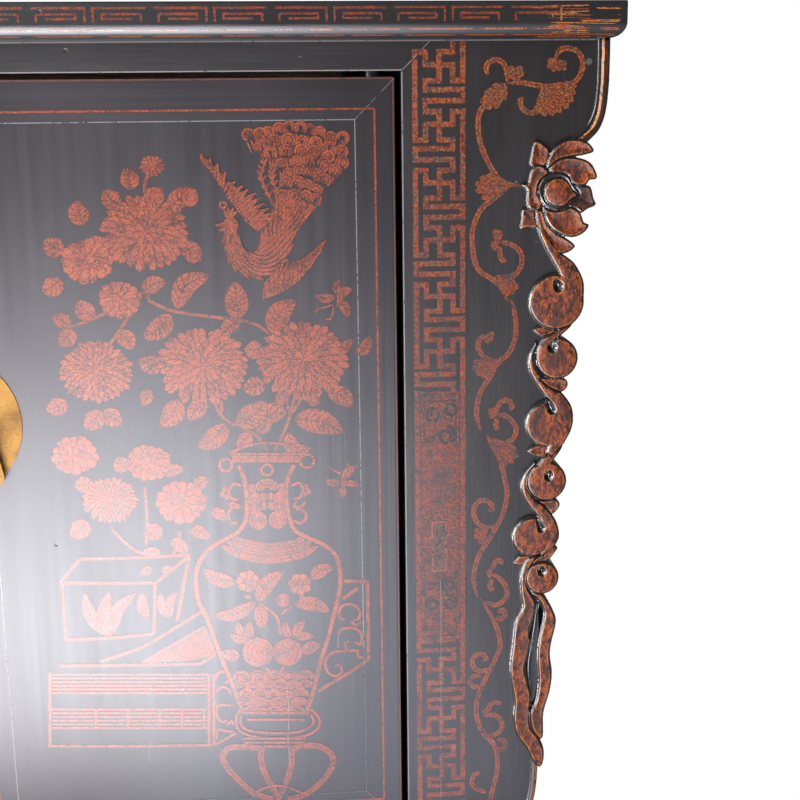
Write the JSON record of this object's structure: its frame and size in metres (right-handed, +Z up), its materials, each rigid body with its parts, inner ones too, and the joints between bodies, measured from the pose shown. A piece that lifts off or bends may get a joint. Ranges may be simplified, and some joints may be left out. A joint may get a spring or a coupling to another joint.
{
  "type": "sideboard",
  "caption": "Black-lacquer sideboard with a framed top, painted flush doors on wooden pintles, and carved wings under the overhanging top.",
  "frame": {"origin": "on the floor under the middle of the sideboard", "axes": "+X to the right as seen from the front, +Y to the back, +Z up; the doors face -Y"},
  "size_m": [1.256, 0.46, 0.955],
  "materials": {
    "black_lacquer": "aged satin-gloss black lacquer on wood, worn at the edges",
    "door_lacquer": "aged satin-gloss black lacquer with painted ornament",
    "carved_lacquer": "black lacquer ground, carving painted red-brown and worn to gold",
    "bare_wood": "dry dark softwood with a thin red-brown wash",
    "peg_wood": "end grain of a grey, dried-out peg",
    "brass": "aged brass, dulled brown with rubbed high spots"
  },
  "bodies": {
    "carcass": {"back_bottom_rail": "bare_wood", "back_panel_left": "bare_wood", "back_panel_right": "bare_wood", "back_post_left": "bare_wood", "back_post_right": "bare_wood", "back_stile": "bare_wood", "back_top_rail": "bare_wood", "back_wing_left": "bare_wood", "back_wing_right": "bare_wood", "door_stop_bottom": "bare_wood", "door_stop_top": "bare_wood", "floor_battens": "bare_wood", "floor_board": "bare_wood", "front_apron": "black_lacquer", "front_bottom_rail": "black_lacquer", "front_post_left": "black_lacquer", "front_post_right": "black_lacquer", "front_top_rail": "black_lacquer", "front_wing_left": "carved_lacquer", "front_wing_right": "carved_lacquer", "shelf_back_rail": "bare_wood", "shelf_bearer_left": "bare_wood", "shelf_bearer_right": "bare_wood", "shelf_board": "bare_wood", "shelf_front_rail": "bare_wood", "side_apron_left": "black_lacquer", "side_apron_right": "black_lacquer", "side_bottom_rail_left": "black_lacquer", "side_bottom_rail_right": "black_lacquer", "side_panel_left": "black_lacquer", "side_panel_right": "black_lacquer", "side_top_rail_left": "black_lacquer", "side_top_rail_right": "black_lacquer", "top_back_rail": "black_lacquer", "top_battens": "bare_wood", "top_end_left": "black_lacquer", "top_end_right": "black_lacquer", "top_front_rail": "black_lacquer", "top_panel": "black_lacquer", "wing_pegs": "peg_wood"},
    "right_door": {"right_door_battens": "bare_wood", "right_door_bottom_rail": "door_lacquer", "right_door_hinge_stile": "door_lacquer", "right_door_lock_plate": "brass", "right_door_meeting_stile": "door_lacquer", "right_door_panel": "door_lacquer", "right_door_ring_and_eye": "brass", "right_door_top_rail": "door_lacquer"},
    "left_door": {"left_door_battens": "bare_wood", "left_door_bottom_rail": "door_lacquer", "left_door_hinge_stile": "door_lacquer", "left_door_lock_plate": "brass", "left_door_meeting_stile": "door_lacquer", "left_door_panel": "door_lacquer", "left_door_ring_and_eye": "brass", "left_door_top_rail": "door_lacquer"},
    "right_pull": {"right_door_pull": "brass"},
    "left_pull": {"left_door_pull": "brass"}
  },
  "joints": [
    {"name": "right_door_hinge", "type": "hinge", "parent": "carcass", "child": "right_door", "pos_m": [0.4015, -0.194, 0.5], "axis": [0, 0, 1], "range_deg": [0, 105]},
    {"name": "left_door_hinge", "type": "hinge", "parent": "carcass", "child": "left_door", "pos_m": [-0.4015, -0.194, 0.5], "axis": [0, 0, -1], "range_deg": [0, 105]},
    {"name": "right_pull_swing", "type": "hinge", "parent": "right_door", "child": "right_pull", "pos_m": [0.04, -0.2185, 0.5805], "axis": [-1, 0, 0], "range_deg": [0, 80]},
    {"name": "left_pull_swing", "type": "hinge", "parent": "left_door", "child": "left_pull", "pos_m": [-0.04, -0.2185, 0.5805], "axis": [-1, 0, 0], "range_deg": [0, 80]}
  ]
}
